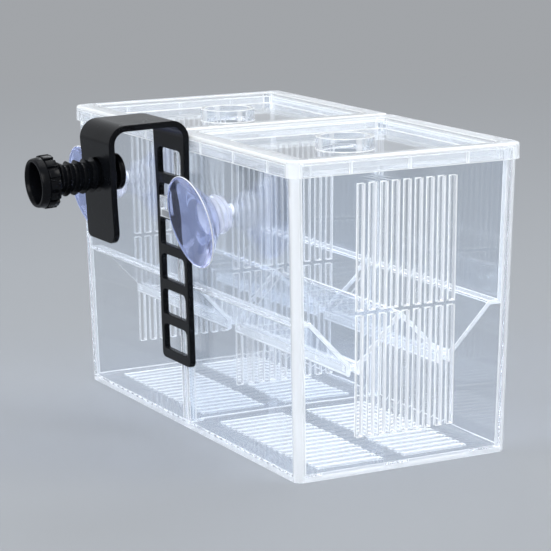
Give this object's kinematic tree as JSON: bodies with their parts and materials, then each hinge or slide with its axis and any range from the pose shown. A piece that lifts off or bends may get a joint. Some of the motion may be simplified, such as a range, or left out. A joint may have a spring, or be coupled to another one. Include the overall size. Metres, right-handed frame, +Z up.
{
  "type": "fish breeding box",
  "caption": "Clear hanging fish breeding box with slotted ends, lift-out divider, valley-floored fry trays, lids with feed holes, suction cups and a ladder bracket with a clamp screw",
  "frame": {"origin": "The middle of the tank's underside, on the surface that the box stands on", "axes": "+Z is up. +X runs along the tank towards the front half. -Y is the side with the bracket and the suction cups, which hangs on the aquarium's wall"},
  "size_m": [0.1982, 0.1623, 0.1283],
  "materials": {
    "clear_acrylic": "polished clear moulded acrylic",
    "black_plastic": "smooth black moulded plastic",
    "clear_vinyl": "soft clear vinyl with a faint blue cast"
  },
  "bodies": {
    "tank": {"tank": "clear_acrylic"},
    "divider": {"divider": "clear_acrylic"},
    "front_tray": {"front_fry_tray": "clear_acrylic"},
    "rear_tray": {"rear_fry_tray": "clear_acrylic"},
    "front_lid": {"front_lid": "clear_acrylic"},
    "rear_lid": {"rear_lid": "clear_acrylic"},
    "bracket": {"hanging_bracket": "black_plastic"},
    "pad": {"clamp_pad": "black_plastic"},
    "screw": {"clamp_screw": "black_plastic"},
    "front_cup": {"front_suction_cup": "clear_vinyl"},
    "rear_cup": {"rear_suction_cup": "clear_vinyl"}
  },
  "joints": [
    {"name": "divider_lift", "type": "slide", "parent": "tank", "child": "divider", "axis": [0, 0, 1], "range_m": [0, 0.125]},
    {"name": "front_tray_lift", "type": "slide", "parent": "tank", "child": "front_tray", "axis": [0, 0, 1], "range_m": [0, 0.09]},
    {"name": "rear_tray_lift", "type": "slide", "parent": "tank", "child": "rear_tray", "axis": [0, 0, 1], "range_m": [0, 0.09]},
    {"name": "front_lid_lift", "type": "slide", "parent": "front_tray", "child": "front_lid", "axis": [0, 0, 1], "range_m": [0, 0.04]},
    {"name": "rear_lid_lift", "type": "slide", "parent": "rear_tray", "child": "rear_lid", "axis": [0, 0, 1], "range_m": [0, 0.04]},
    {"name": "bracket_drop", "type": "slide", "parent": "tank", "child": "bracket", "axis": [0, -0.0227, 0.9997], "range_m": [-0.0042, 0]},
    {"name": "pad_advance", "type": "slide", "parent": "bracket", "child": "pad", "axis": [0, 0.9983, 0.0576], "range_m": [0, 0.0145]},
    {"name": "screw_turn", "type": "hinge", "parent": "pad", "child": "screw", "pos_m": [0.003, -0.08939, 0.10738], "axis": [0, 0.9983, 0.0576], "range_deg": [0, 1450]},
    {"name": "front_cup_pull", "type": "slide", "parent": "tank", "child": "front_cup", "axis": [0, -1, 0], "range_m": [0, 0.03]},
    {"name": "rear_cup_pull", "type": "slide", "parent": "tank", "child": "rear_cup", "axis": [0, -1, 0], "range_m": [0, 0.03]}
  ],
  "couplings": [
    {"joint": "screw_turn", "follows": "pad_advance", "rad_per_m": 1745.3}
  ]
}
